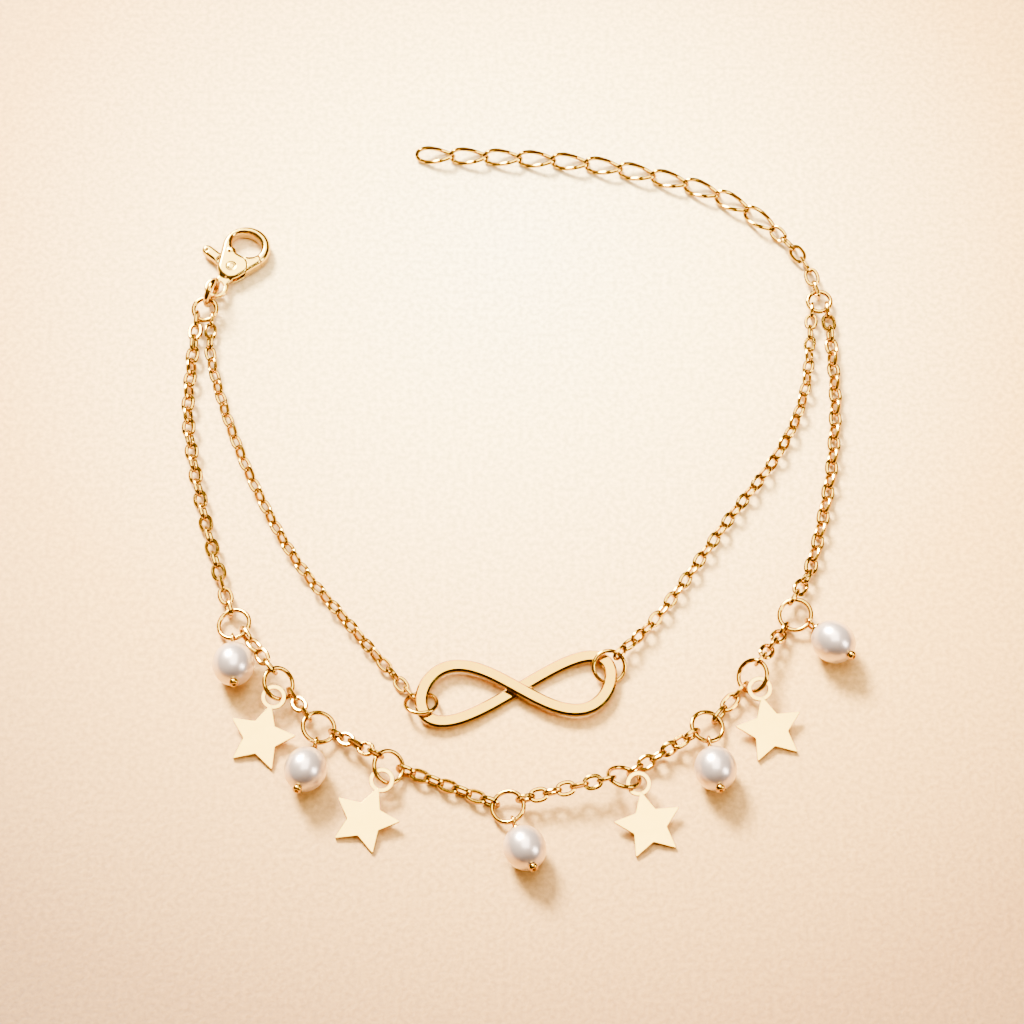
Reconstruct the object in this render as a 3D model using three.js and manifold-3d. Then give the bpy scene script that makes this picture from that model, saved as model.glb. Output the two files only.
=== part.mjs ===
// Charm anklet of gold-coloured metal, lying open on a table, in millimetres with +Z up.
// Two strands share a lobster clasp: a fine inner chain with an infinity link, and an outer chain
// whose jump rings carry five pearl drops and four flat stars. An extender chain ends it.
import * as THREE from 'three';
import { mergeVertices } from 'three/addons/utils/BufferGeometryUtils.js';
import Module from 'manifold-3d';

const wasm = await Module();
wasm.setup();

// Driving dimensions.
const clearance = 0.12;         // free space left between two linked pieces
const weldDepth = 0.1;          // how far the links of one chain sink into each other
const hookPull = 0.18;          // how far a ring's wire sits off the middle of an end link's hole
const barGap = 0.5;             // space from a bar's end to the ring wire before it
const linkSteps = 10;           // sides of a link seen from above
const linkFullness = 0.75;      // 1 is a plain ellipse, less has rounder ends and straighter sides
const wireSides = 5;            // sides of a link's wire
const ringSteps = 12;
const outerChain = { wire: 0.5, width: 2.25, pitch: 2.1 };
const innerChain = { wire: 0.42, width: 1.95, pitch: 2.0 };
const extenderLarge = { wire: 0.56, width: 3.0, pitch: 5.3, twist: Math.PI / 4 };
const extenderSmall = { wire: 0.52, width: 2.3, pitch: 2.35 };
const extenderSmallCount = 6;
const extenderLargeCount = 11;
const charmRing = { radius: 2.45, wire: 0.56 };
const strandRing = { radius: 1.75, wire: 0.65 };
const junctionRing = { radius: 1.75, wire: 0.6 };
const infinityRing = { radius: 2.35, wire: 0.55 };
const finest = 0.004;           // details smaller than this are left out of a joined piece
const clothGap = 0.02;          // lowest point of a laid piece above the table
const pearl = { radius: 3.05, halfLength: 3.45, bore: 0.5, steps: 12, rows: 7 };
const headpin = { wire: 0.34, loopRadius: 0.95, loopWire: 0.45, capRadius: 1.05, capLength: 0.55 };
const endBead = { radius: 0.72, length: 1.0 };
const star = { tip: 5.25, valley: 2.6, thickness: 0.55, tipRound: 0.3 };
const starLoop = { hole: 1.2, outer: 1.85, thickness: 0.48, sink: 0.5 };
const infinity = {
  halfLength: 13.9, halfHeight: 4.35, slant: 0.25, band: 1.9, thickness: 1.05, steps: 38,
};
const infinityStep = 0.12;      // space between the two strands where the figure crosses itself
const infinityRise = 0.22;      // how far both ends stand up in their rings
const clasp = { thickness: 2.2, headRadius: 3.75, heelRadius: 2.2, eyeLong: 2.45, eyeShort: 1.9 };
const claspTail = { hole: 1.15, outer: 1.85, bottom: 1.05, thickness: 0.7 };
const claspLink = { radius: 2.0, wire: 0.85 };
const lever = { thickness: 0.8, hub: 1.05, pin: 0.45, slot: 1.1, knob: 0.8 };

// Places on the table, chosen by hand in millimetres, with bearings in degrees from +X.
const claspPlace = { x: -45.6, y: 38.9, bearing: 52 };
const claspLinkPlace = { reach: 1.6, bearing: 67 };
const strandRingPlace = { x: -47.2, y: 35.0, z: 1.5, bearing: 70, pitch: 12 };
const junctionPlace = { x: 47.3, y: 36.6, z: 1.15, bearing: -90, roll: 0 };
const infinityPlace = { x: 0.6, y: -29.5, bearing: 5 };
const infinityHold = { left: { angle: 172, roll: 27 }, right: { angle: 16, roll: -27 } };
const innerLeftRoute = [[-46.0, 26.5], [-43.0, 15.5], [-38.3, 3.5], [-32.0, -8.5], [-24.0, -19.0]];
const innerRightRoute = [[22.0, -17.0], [32.0, -2.0], [40.5, 10.5], [44.6, 21.0]];
const outerLeftRoute = [[-48.9, 26.5], [-49.2, 17.0], [-48.0, 8.0], [-45.6, -3.0]];
const outerRightRoute = [[44.6, -9.0], [47.8, 5.0], [49.1, 17.0], [49.0, 27.0]];
const extenderRoute = [
  [45.4, 43.3, 1.15], [40.9, 49.3, 1.1], [33.5, 55.2, 0.95],
  [23.2, 59.3, 0.95], [7.3, 62.4, 0.95], [-18.0, 63.7, 0.95],
];
// Where chains are hooked to the rings, as bearings from +X.
const strandHooks = { outer: 228, inner: 306 };
const junctionHooks = { outer: -48, inner: -132, extender: 100 };
const infinityHooks = { left: 130, right: 55 };
const routeHeight = outerChain.width / 2;

// The charm rings along the outer chain, from the clasp's side on. The chain comes in and leaves at
// the two bearings, the charm hangs towards the third, and swing turns it from there.
const charmRows = [
  { kind: 'pearl', x: -41.1, y: -19.0, roll: 14, comesIn: 108, leaves: -45, toward: -92, swing: 6 },
  { kind: 'star', x: -34.2, y: -29.2, roll: -32, comesIn: 122, leaves: -28, toward: -106, swing: -1 },
  { kind: 'pearl', x: -28.2, y: -36.0, roll: -14, comesIn: 136, leaves: -18, toward: -98, swing: -8 },
  { kind: 'star', x: -17.9, y: -42.6, roll: -32, comesIn: 140, leaves: -2, toward: -114, swing: 1 },
  { kind: 'pearl', x: -0.6, y: -48.6, roll: 14, comesIn: 160, leaves: 25, toward: -71, swing: 0 },
  { kind: 'star', x: 16.2, y: -44.3, roll: -33, comesIn: 200, leaves: 52, toward: -26, swing: -50 },
  { kind: 'pearl', x: 28.5, y: -35.8, roll: -14, comesIn: 213, leaves: 48, toward: -85, swing: 4 },
  { kind: 'star', x: 35.3, y: -28.0, roll: 34, comesIn: 219, leaves: 58, toward: -66, swing: -10 },
  { kind: 'pearl', x: 41.9, y: -17.6, roll: 12, comesIn: 232, leaves: 96, toward: -36, swing: -12 },
];

const up = new THREE.Vector3(0, 0, 1);
const radians = THREE.MathUtils.degToRad;

function metal(color, roughness = 0.22) {
  return new THREE.MeshStandardMaterial({ color, roughness, metalness: 1 });
}

function piece(name, geometry, material = metal(0xd9a55b)) {
  const mesh = new THREE.Mesh(geometry, material);
  mesh.name = name;
  return mesh;
}

// A geometry with only positions, its shared corners joined.
function welded(geometry) {
  const plain = geometry.index ? geometry.toNonIndexed() : geometry.clone();
  plain.deleteAttribute('normal');
  plain.deleteAttribute('uv');
  return mergeVertices(plain, 1e-4);
}

function toSolid(geometry) {
  const plain = welded(geometry);
  const mesh = new wasm.Mesh({
    numProp: 3,
    vertProperties: Float32Array.from(plain.attributes.position.array),
    triVerts: Uint32Array.from(plain.index.array),
  });
  return new wasm.Manifold(mesh);
}

function toGeometry(solid) {
  const mesh = solid.simplify(finest).getMesh();
  const geometry = new THREE.BufferGeometry();
  geometry.setAttribute('position', new THREE.BufferAttribute(Float32Array.from(mesh.vertProperties), 3));
  geometry.setIndex(Array.from(mesh.triVerts));
  return geometry;
}

function joined(geometries) {
  let solid = toSolid(geometries[0]);
  for (const geometry of geometries.slice(1)) {
    solid = solid.add(toSolid(geometry));
  }
  return toGeometry(solid);
}

function cut(geometry, tools) {
  let solid = toSolid(geometry);
  for (const tool of tools) {
    solid = solid.subtract(toSolid(tool));
  }
  return toGeometry(solid);
}

// A closed wire: frameAt gives a point of its centre line and the two directions of the section there,
// sectionAt a corner of the section.
function closedWire(steps, sides, frameAt, sectionAt) {
  const geometry = new THREE.TorusGeometry(2, 1, sides, steps);
  const position = geometry.attributes.position;
  for (let j = 0; j <= sides; j += 1) {
    for (let i = 0; i <= steps; i += 1) {
      const { point, outward, lift } = frameAt((i % steps) / steps * Math.PI * 2);
      const [across, height] = sectionAt(j % sides);
      const corner = point.clone().addScaledVector(outward, across).addScaledVector(lift, height);
      position.setXYZ(j * (steps + 1) + i, corner.x, corner.y, corner.z);
    }
  }
  return geometry;
}

function roundSection(radius, sides, firstAngle) {
  return (index) => {
    const angle = firstAngle + index / sides * Math.PI * 2;
    return [Math.cos(angle) * radius, Math.sin(angle) * radius];
  };
}

// An oval link round its own centre, long along X and flat in XY. With twist its two ends are turned
// about X in opposite ways, as in a curb chain.
function linkGeometry(length, width, wire, twist = 0) {
  const radius = wire / 2;
  const long = length / 2 - radius;
  const wide = width / 2 - radius;
  const startAngle = Math.PI / linkSteps;
  const step = Math.PI * 2 / linkSteps;
  const full = (value) => Math.sign(value) * Math.abs(value) ** linkFullness;
  const cornerAt = (angle) => new THREE.Vector3(
    full(Math.cos(angle + startAngle) / Math.cos(startAngle)) * long,
    full(Math.sin(angle + startAngle)) * wide,
    0,
  );
  const frameAt = (angle) => {
    const point = cornerAt(angle);
    const before = point.clone().sub(cornerAt(angle - step)).normalize();
    const after = cornerAt(angle + step).sub(point).normalize();
    const along = before.clone().add(after).divideScalar(1 + before.dot(after));
    const outward = new THREE.Vector3(along.y, -along.x, 0);
    const lift = up.clone();
    const turn = twist * Math.max(-1, Math.min(1, point.x / long));
    for (const vector of [point, outward, lift]) {
      vector.applyAxisAngle(new THREE.Vector3(1, 0, 0), turn);
    }
    return { point, outward, lift };
  };
  return closedWire(linkSteps, wireSides, frameAt, roundSection(radius, wireSides, Math.PI));
}

function ringGeometry(ring) {
  return new THREE.TorusGeometry(ring.radius, ring.wire / 2, wireSides, ringSteps);
}

// A ring laid at a place: toward is the bearing its roll turns about, pitch lifts that side.
function ringFrame(place, ring) {
  const centre = new THREE.Vector3(place.x, place.y, place.z);
  const bearing = radians(place.bearing);
  const toward = new THREE.Vector3(Math.cos(bearing), Math.sin(bearing), 0);
  const side = new THREE.Vector3().crossVectors(up, toward);
  side.applyAxisAngle(toward, radians(place.roll ?? 0));
  toward.applyAxisAngle(side, -radians(place.pitch ?? 0));
  const normal = new THREE.Vector3().crossVectors(toward, side);
  return { centre, toward, side, normal, ring, bearing };
}

function ringMesh(name, frame) {
  const mesh = piece(name, ringGeometry(frame.ring));
  mesh.quaternion.setFromRotationMatrix(
    new THREE.Matrix4().makeBasis(frame.toward, frame.side, frame.normal),
  );
  mesh.position.copy(frame.centre);
  return mesh;
}

// The point of a ring's wire at a bearing on the table, and the direction of the wire there.
function hookAt(frame, bearing) {
  const angle = radians(bearing) - frame.bearing;
  const radial = frame.toward.clone().multiplyScalar(Math.cos(angle))
    .addScaledVector(frame.side, Math.sin(angle));
  const tangent = new THREE.Vector3().crossVectors(frame.normal, radial);
  const point = frame.centre.clone().addScaledVector(radial, frame.ring.radius);
  return { point, tangent, radial };
}

// How far the centre of a chain's end link lies outside the ring wire that it holds.
function hookOffset(chain) {
  return (chain.wire - weldDepth) / 2 + hookPull;
}

// The roll of a link whose plane the wire of a ring crosses squarely.
function rollThrough(axis, wireDirection) {
  const side = new THREE.Vector3().crossVectors(up, axis).normalize();
  const above = new THREE.Vector3().crossVectors(axis, side);
  return Math.atan2(wireDirection.dot(side), wireDirection.dot(above));
}

// The links of a chain between two rings: equal steps along one smooth route, each turned a quarter
// from the last, with what is left of the turn to the far ring spread over them all.
function chainLinks(chain, start, end, route) {
  const curve = new THREE.CatmullRomCurve3(
    [start.point, ...route.map(([x, y]) => new THREE.Vector3(x, y, routeHeight)), end.point],
    false, 'catmullrom', 0.5,
  );
  curve.arcLengthDivisions = 600;
  const length = curve.getLength();
  const first = hookOffset(chain);
  const last = length - hookOffset(chain);
  const count = Math.max(2, Math.round((last - first) / chain.pitch) + 1);
  const pitch = (last - first) / (count - 1);
  const axes = [];
  const centres = [];
  for (let i = 0; i < count; i += 1) {
    const u = (first + i * pitch) / length;
    centres.push(curve.getPointAt(u));
    axes.push(curve.getTangentAt(u));
  }
  const startRoll = rollThrough(axes[0], start.tangent);
  const endRoll = rollThrough(axes[count - 1], end.tangent);
  const quarter = Math.PI / 2;
  let rest = endRoll - startRoll - (count - 1) * quarter;
  rest -= Math.round(rest / Math.PI) * Math.PI;
  return centres.map((centre, i) => ({
    centre,
    axis: axes[i],
    roll: startRoll + i * (quarter + rest / (count - 1)),
    length: pitch + 2 * chain.wire - weldDepth,
    width: chain.width,
    wire: chain.wire,
    twist: chain.twist ?? 0,
  }));
}

function placedLink(link) {
  const side = new THREE.Vector3().crossVectors(up, link.axis).normalize();
  const above = new THREE.Vector3().crossVectors(link.axis, side);
  side.applyAxisAngle(link.axis, link.roll);
  above.applyAxisAngle(link.axis, link.roll);
  const matrix = new THREE.Matrix4().makeBasis(link.axis, side, above).setPosition(link.centre);
  return linkGeometry(link.length, link.width, link.wire, link.twist).applyMatrix4(matrix);
}

// The extender: small cable links off the junction ring, then large curb links that all lie flat.
function extenderLinks(start) {
  const points = extenderRoute.map(([x, y, z]) => new THREE.Vector3(x, y, z));
  const curve = new THREE.CatmullRomCurve3([start.point, ...points], false, 'catmullrom', 0.5);
  curve.arcLengthDivisions = 600;
  const length = curve.getLength();
  const startRoll = rollThrough(curve.getTangentAt(0), start.tangent);
  const smallCount = extenderSmallCount;
  const quarter = Math.PI / 2;
  let rest = extenderLarge.twist - startRoll - (smallCount - 1) * quarter;
  rest -= Math.round(rest / Math.PI) * Math.PI;
  const links = [];
  let station = hookOffset(extenderSmall);
  for (let i = 0; i < smallCount + extenderLargeCount; i += 1) {
    const kind = i < smallCount ? extenderSmall : extenderLarge;
    if (i > 0) {
      const before = i - 1 < smallCount ? extenderSmall : extenderLarge;
      station += (kind.pitch + before.pitch) / 2;
    }
    links.push({
      centre: curve.getPointAt(station / length),
      axis: curve.getTangentAt(station / length),
      roll: i < smallCount ? startRoll + i * (quarter + rest / (smallCount - 1)) : 0,
      length: kind.pitch + 2 * kind.wire - weldDepth,
      width: kind.width,
      wire: kind.wire,
      twist: kind.twist ?? 0,
    });
  }
  return links;
}

function chainMesh(name, links) {
  return piece(name, joined(links.map(placedLink)));
}

// The outer shape of a fine chain: a round bar as wide as its links, from its first ring to its last.
function chainBar(name, chain, links, rings) {
  const barStart = rings[0].wire / 2 + barGap - hookOffset(chain);
  const barEnd = rings[1].wire / 2 + barGap - hookOffset(chain);
  const centres = links.map((link) => link.centre);
  const points = [centres[0].clone().addScaledVector(links[0].axis, barStart)];
  const barSteps = Math.max(3, Math.round(links.length / 2.4));
  for (let i = 1; i < barSteps; i += 1) {
    points.push(centres[Math.round(i * (links.length - 1) / barSteps)].clone());
  }
  const lastLink = links[links.length - 1];
  points.push(lastLink.centre.clone().addScaledVector(lastLink.axis, -barEnd));
  const radius = chain.width / 2 - clothGap;
  for (const point of points) {
    point.z = Math.max(point.z, radius + clothGap);
  }
  const section = new THREE.Shape();
  for (let i = 0; i < 8; i += 1) {
    const angle = (i + 0.5) / 8 * Math.PI * 2;
    const corner = [Math.cos(angle) * radius, Math.sin(angle) * radius];
    if (i === 0) {
      section.moveTo(...corner);
    } else {
      section.lineTo(...corner);
    }
  }
  section.closePath();
  const path = new THREE.CatmullRomCurve3(points, false, 'catmullrom', 0.5);
  return piece(name, new THREE.ExtrudeGeometry(section, { steps: barSteps, extrudePath: path }));
}

// A bead turned about X with a hole right through it.
function pearlGeometry() {
  const profile = [];
  const edge = Math.acos(pearl.bore / pearl.radius);
  const rows = pearl.rows;
  for (let i = 0; i <= rows; i += 1) {
    const angle = -edge + i / rows * 2 * edge;
    profile.push(new THREE.Vector2(Math.cos(angle) * pearl.radius, Math.sin(angle) * pearl.halfLength));
  }
  profile.push(profile[0].clone());
  return new THREE.LatheGeometry(profile, pearl.steps).rotateZ(-Math.PI / 2);
}

// The end of the bead, measured along its hole.
function pearlEnd() {
  return pearl.halfLength * Math.sin(Math.acos(pearl.bore / pearl.radius));
}

function headpinLoopCentre() {
  return pearlEnd() + clearance + headpin.capLength + headpin.loopRadius;
}

// Pin, cap, end bead and wire loop, soldered into one piece. The loop is at -X.
function headpinGeometry() {
  const seat = pearlEnd() + clearance;
  const capEnd = seat + headpin.capLength;
  const profile = [
    [0, -capEnd - headpin.loopWire / 2],
    [headpin.wire, -capEnd - headpin.loopWire / 2],
    [headpin.capRadius * 0.55, -capEnd],
    [headpin.capRadius, -seat - 0.1],
    [headpin.capRadius, -seat],
    [headpin.wire, -seat],
    [headpin.wire, seat],
    [endBead.radius, seat + endBead.length * 0.3],
    [endBead.radius, seat + endBead.length * 0.7],
    [endBead.radius * 0.55, seat + endBead.length],
    [0, seat + endBead.length],
  ].map(([radius, along]) => new THREE.Vector2(radius, along));
  const turned = new THREE.LatheGeometry(profile, 8).rotateZ(-Math.PI / 2);
  const loop = new THREE.TorusGeometry(headpin.loopRadius, headpin.loopWire / 2, wireSides, linkSteps);
  loop.rotateX(Math.PI / 2);
  loop.translate(-headpinLoopCentre(), 0, 0);
  return joined([turned, loop]);
}

function ringShape(outer, hole, sides) {
  const shape = new THREE.Shape();
  shape.absarc(0, 0, outer, 0, Math.PI * 2, false);
  const gap = new THREE.Path();
  gap.absarc(0, 0, hole, 0, Math.PI * 2, true);
  shape.holes.push(gap);
  return { shape, curveSegments: sides };
}

// From the middle of the loop to the middle of the star, whose rounded point is sunk into the loop.
const starReach = starLoop.outer - starLoop.sink + star.tip - star.tipRound;

// A flat five-pointed star, its points slightly rounded, with a flat loop at the point towards -X.
// The centre of the loop is at the origin.
function starGeometry() {
  const shape = new THREE.Shape();
  for (let i = 0; i < 10; i += 1) {
    const angle = Math.PI + i / 10 * Math.PI * 2;
    const reach = i % 2 === 0 ? star.tip : star.valley;
    if (i % 2 === 1) {
      shape.lineTo(Math.cos(angle) * reach, Math.sin(angle) * reach);
      continue;
    }
    for (const turn of [-1, 1]) {
      const x = Math.cos(angle) * (reach - star.tipRound) - turn * Math.sin(angle) * star.tipRound * 0.4;
      const y = Math.sin(angle) * (reach - star.tipRound) + turn * Math.cos(angle) * star.tipRound * 0.4;
      if (i === 0 && turn === -1) {
        shape.moveTo(x, y);
      } else {
        shape.lineTo(x, y);
      }
    }
  }
  shape.closePath();
  const plate = new THREE.ExtrudeGeometry(shape, { depth: star.thickness, bevelEnabled: false });
  plate.translate(starReach, 0, -star.thickness / 2);
  const { shape: annulus, curveSegments } = ringShape(starLoop.outer, starLoop.hole, 8);
  const loop = new THREE.ExtrudeGeometry(annulus, {
    depth: starLoop.thickness, bevelEnabled: false, curveSegments,
  });
  loop.translate(0, 0, -starLoop.thickness / 2);
  return joined([plate, loop]);
}

// How far a laid charm leans: its loop is up on the ring and its far end is on the table.
function leanTo(loopHeight, reach, halfThickness) {
  const radius = Math.hypot(reach, halfThickness);
  return Math.asin((loopHeight - clothGap) / radius) - Math.atan2(halfThickness, reach);
}

function starCharm(name, frame, row) {
  const bearing = radians(row.toward + row.swing);
  const reach = frame.ring.radius - clearance;
  const position = frame.centre.clone().addScaledVector(frame.toward, reach);
  const farTip = starReach + star.tip * Math.cos(Math.PI / 5);
  const lean = leanTo(position.z, farTip, star.thickness / 2);
  const mesh = piece(name, starGeometry(), metal(0xf6dfb2, 0.18));
  mesh.rotation.set(0, lean, bearing, 'ZYX');
  mesh.position.copy(position);
  return [mesh];
}

function pearlCharm(name, pinName, frame, row) {
  const bearing = radians(row.toward + row.swing);
  const loopShift = (headpin.loopRadius - headpin.loopWire / 2 - frame.ring.wire / 2) / 2;
  const position = frame.centre.clone().addScaledVector(frame.toward, frame.ring.radius + loopShift);
  const rise = Math.asin((pearl.radius + clothGap + 0.05 - position.z) / headpinLoopCentre());
  const group = new THREE.Group();
  group.rotation.set(0, -rise, bearing, 'ZYX');
  group.position.copy(position);
  const lustre = new THREE.MeshStandardMaterial({ color: 0xf0e8ec, roughness: 0.25 });
  const bead = piece(name, pearlGeometry(), lustre);
  const pin = piece(pinName, headpinGeometry());
  bead.position.x = headpinLoopCentre();
  pin.position.x = headpinLoopCentre();
  group.add(bead, pin);
  return [group];
}

// A point of the infinity band's middle line, from the link's centre on the table.
function infinityPoint(angle) {
  const lift = (infinity.thickness + infinityStep) / 2;
  const y = infinity.halfHeight * Math.sin(2 * angle);
  const x = infinity.halfLength * Math.cos(angle) + infinity.slant * y;
  const rise = infinityRise * Math.cos(angle) ** 2;
  const z = lift * (1 - Math.sin(angle) ** 3) + rise + infinity.thickness / 2 + clothGap;
  return new THREE.Vector3(x, y, z).applyAxisAngle(up, radians(infinityPlace.bearing));
}

// The infinity link: one flat band that crosses over itself in the middle.
function infinityGeometry() {
  const frameAt = (angle) => {
    const ahead = infinityPoint(angle + 0.001).sub(infinityPoint(angle - 0.001)).setZ(0).normalize();
    const outward = new THREE.Vector3(ahead.y, -ahead.x, 0);
    return { point: infinityPoint(angle), outward, lift: up };
  };
  const half = infinity.band / 2;
  const thick = infinity.thickness / 2;
  const edge = 0.3;
  const corners = [
    [half, -thick + edge], [half, thick - edge], [half - edge, thick], [-half + edge, thick],
    [-half, thick - edge], [-half, -thick + edge], [-half + edge, -thick], [half - edge, -thick],
  ];
  return closedWire(infinity.steps, corners.length, frameAt, (index) => corners[index]);
}

// A ring round the infinity band: it leans so that the band passes over one side and under the other.
function infinityRingFrame(hold) {
  const angle = radians(hold.angle);
  const centre = infinityPoint(angle);
  const along = infinityPoint(angle + 0.001).sub(infinityPoint(angle - 0.001));
  const place = {
    x: infinityPlace.x + centre.x,
    y: infinityPlace.y + centre.y,
    z: infinityRing.radius * Math.sin(radians(Math.abs(hold.roll))) + infinityRing.wire / 2 + clothGap,
    bearing: THREE.MathUtils.radToDeg(Math.atan2(along.y, along.x)) + 90,
    roll: hold.roll,
  };
  return ringFrame(place, infinityRing);
}

// A charm ring stands so high that the chain's end links keep off the table.
function charmRingFrame(row) {
  const lowest = Math.min(...[row.comesIn, row.leaves].map((bearing) => (
    Math.sin(radians(row.roll)) * Math.sin(radians(bearing - row.toward)) * charmRing.radius
  )));
  return ringFrame({ ...row, bearing: row.toward, z: routeHeight - lowest + 2 * clothGap }, charmRing);
}

// The smooth outline round two circles.
function roundedHull(a, b) {
  const apart = Math.hypot(b.x - a.x, b.y - a.y);
  const axis = Math.atan2(b.y - a.y, b.x - a.x);
  const open = Math.acos((a.r - b.r) / apart);
  const shape = new THREE.Shape();
  shape.absarc(a.x, a.y, a.r, axis + open, axis - open + Math.PI * 2, false);
  shape.absarc(b.x, b.y, b.r, axis - open, axis + open, false);
  shape.closePath();
  return shape;
}

function slab(shape, bottom, thickness, curveSegments = 12) {
  const options = { depth: thickness, bevelEnabled: false, curveSegments };
  return new THREE.ExtrudeGeometry(shape, options).translate(0, 0, bottom);
}

function polygon(points) {
  const shape = new THREE.Shape();
  shape.moveTo(...points[0]);
  for (const point of points.slice(1)) {
    shape.lineTo(...point);
  }
  shape.closePath();
  return shape;
}

// The clasp lies flat, its tail hole at the origin and its head towards +X.
const head = { x: 8.3, y: 0.9, r: clasp.headRadius };
const heel = { x: 4.2, y: 0.5, r: clasp.heelRadius };

function claspEye() {
  const shape = new THREE.Shape();
  shape.absellipse(head.x + 0.4, head.y + 0.2, clasp.eyeShort, clasp.eyeLong, 0, Math.PI * 2);
  return shape;
}

function claspBody() {
  const outline = slab(roundedHull(head, heel), 0, clasp.thickness, 10);
  const tailPlan = polygon([[0, -1.2], [2.9, -1.1], [2.9, 1.4], [0, 1.2]]);
  const tail = slab(tailPlan, claspTail.bottom, claspTail.thickness);
  const { shape: tailRing } = ringShape(claspTail.outer, claspTail.hole, 10);
  const tailEye = slab(tailRing, claspTail.bottom, claspTail.thickness, 8);
  const tailHole = new THREE.CylinderGeometry(claspTail.hole, claspTail.hole, 6, 16).rotateX(Math.PI / 2);
  const eye = slab(claspEye(), -1, clasp.thickness + 2, 10);
  const gateGap = slab(polygon([[6.0, 0], [6.0, -4], [8.2, -4], [8.6, 0]]), -1, clasp.thickness + 2);
  const slotBottom = (clasp.thickness - lever.slot) / 2;
  const slotPlan = polygon([
    [2.7, -3], [7.4, -3], [7.4, 1.4], [6.1, 1.9], [6.1, 6], [1.4, 6], [2.7, 1],
  ]);
  const slot = slab(slotPlan, slotBottom, lever.slot);
  const pin = new THREE.CylinderGeometry(lever.pin, lever.pin, clasp.thickness - 0.2, 12);
  pin.rotateX(Math.PI / 2).translate(heel.x, heel.y, clasp.thickness / 2);
  const body = cut(joined([outline, tail]), [eye, gateGap, slot, tailHole]);
  return joined([body, tailEye, pin]);
}

function claspLever() {
  const bottom = (clasp.thickness - lever.thickness) / 2;
  const hub = new THREE.Shape();
  hub.absarc(0, 0, lever.hub, 0, Math.PI * 2, false);
  const gate = polygon([[0.2, -1.0], [3.9, -2.2], [4.15, -1.0], [2.6, -0.45], [0.6, 0.9]]);
  const thumb = polygon([[0.85, 0.4], [0.75, 4.6], [-0.15, 4.6], [-0.75, 0.6]]);
  const knob = new THREE.CylinderGeometry(lever.knob, lever.knob, 1.5, 12).rotateX(Math.PI / 2);
  knob.translate(0.3, 4.95, clasp.thickness / 2);
  const hole = new THREE.CylinderGeometry(lever.pin + clearance, lever.pin + clearance, 4, 12);
  hole.rotateX(Math.PI / 2).translate(0, 0, clasp.thickness / 2);
  const solid = joined([
    slab(hub, bottom, lever.thickness, 8),
    slab(gate, bottom, lever.thickness),
    slab(thumb, bottom, lever.thickness),
    knob,
  ]);
  return cut(solid, [hole]).translate(heel.x, heel.y, 0);
}

function claspGroup() {
  const group = new THREE.Group();
  group.position.set(claspPlace.x, claspPlace.y, 0);
  group.rotation.z = radians(claspPlace.bearing);
  group.add(piece('clasp_body', claspBody()));
  group.add(piece('clasp_lever', claspLever()));
  return group;
}

// The upright ring between the clasp's tail and the ring that holds both strands.
function claspLinkFrame() {
  const bearing = radians(claspLinkPlace.bearing);
  const place = {
    x: claspPlace.x - Math.cos(bearing) * claspLinkPlace.reach,
    y: claspPlace.y - Math.sin(bearing) * claspLinkPlace.reach,
    z: claspLink.radius + claspLink.wire / 2 + clothGap,
    bearing: claspLinkPlace.bearing,
    roll: 90,
  };
  return ringFrame(place, claspLink);
}

const parts = [];
const strandFrame = ringFrame(strandRingPlace, strandRing);
const junctionFrame = ringFrame(junctionPlace, junctionRing);
const charmFrames = charmRows.map(charmRingFrame);
const leftRingFrame = infinityRingFrame(infinityHold.left);
const rightRingFrame = infinityRingFrame(infinityHold.right);

parts.push(claspGroup());
parts.push(ringMesh('clasp_link_ring', claspLinkFrame()));
parts.push(ringMesh('strand_ring', strandFrame));
parts.push(ringMesh('junction_ring', junctionFrame));

// Outer strand: links between the rings, and a bar for its long first stretch.
const outerLeft = chainLinks(
  outerChain, hookAt(strandFrame, strandHooks.outer),
  hookAt(charmFrames[0], charmRows[0].comesIn), outerLeftRoute,
);
parts.push(chainBar('outer_chain_left', outerChain, outerLeft, [strandRing, charmRing]));
for (let i = 0; i < charmRows.length; i += 1) {
  const row = charmRows[i];
  const number = i + 1;
  parts.push(ringMesh(`charm_ring_${number}`, charmFrames[i]));
  if (row.kind === 'star') {
    parts.push(...starCharm(`star_${number}`, charmFrames[i], row));
  } else {
    parts.push(...pearlCharm(`pearl_${number}`, `pearl_pin_${number}`, charmFrames[i], row));
  }
  if (i + 1 < charmRows.length) {
    const links = chainLinks(
      outerChain, hookAt(charmFrames[i], row.leaves),
      hookAt(charmFrames[i + 1], charmRows[i + 1].comesIn), [],
    );
    parts.push(chainMesh(`outer_chain_${number}_${number + 1}`, links));
  }
}
const lastRow = charmRows[charmRows.length - 1];
const outerRight = chainLinks(
  outerChain, hookAt(charmFrames[charmRows.length - 1], lastRow.leaves),
  hookAt(junctionFrame, junctionHooks.outer), outerRightRoute,
);
parts.push(chainBar('outer_chain_right', outerChain, outerRight, [charmRing, junctionRing]));

// Inner strand: two fine chains to the rings of the infinity link.
const innerLeft = chainLinks(
  innerChain, hookAt(strandFrame, strandHooks.inner),
  hookAt(leftRingFrame, infinityHooks.left), innerLeftRoute,
);
const innerRight = chainLinks(
  innerChain, hookAt(rightRingFrame, infinityHooks.right),
  hookAt(junctionFrame, junctionHooks.inner), innerRightRoute,
);
parts.push(chainBar('inner_chain_left', innerChain, innerLeft, [strandRing, infinityRing]));
parts.push(chainBar('inner_chain_right', innerChain, innerRight, [infinityRing, junctionRing]));
const extenderHook = hookAt(junctionFrame, junctionHooks.extender);
parts.push(chainMesh('extender_chain', extenderLinks(extenderHook)));
parts.push(ringMesh('infinity_ring_left', leftRingFrame));
parts.push(ringMesh('infinity_ring_right', rightRingFrame));
const infinityMesh = piece('infinity_link', infinityGeometry());
infinityMesh.position.set(infinityPlace.x, infinityPlace.y, 0);
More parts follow.
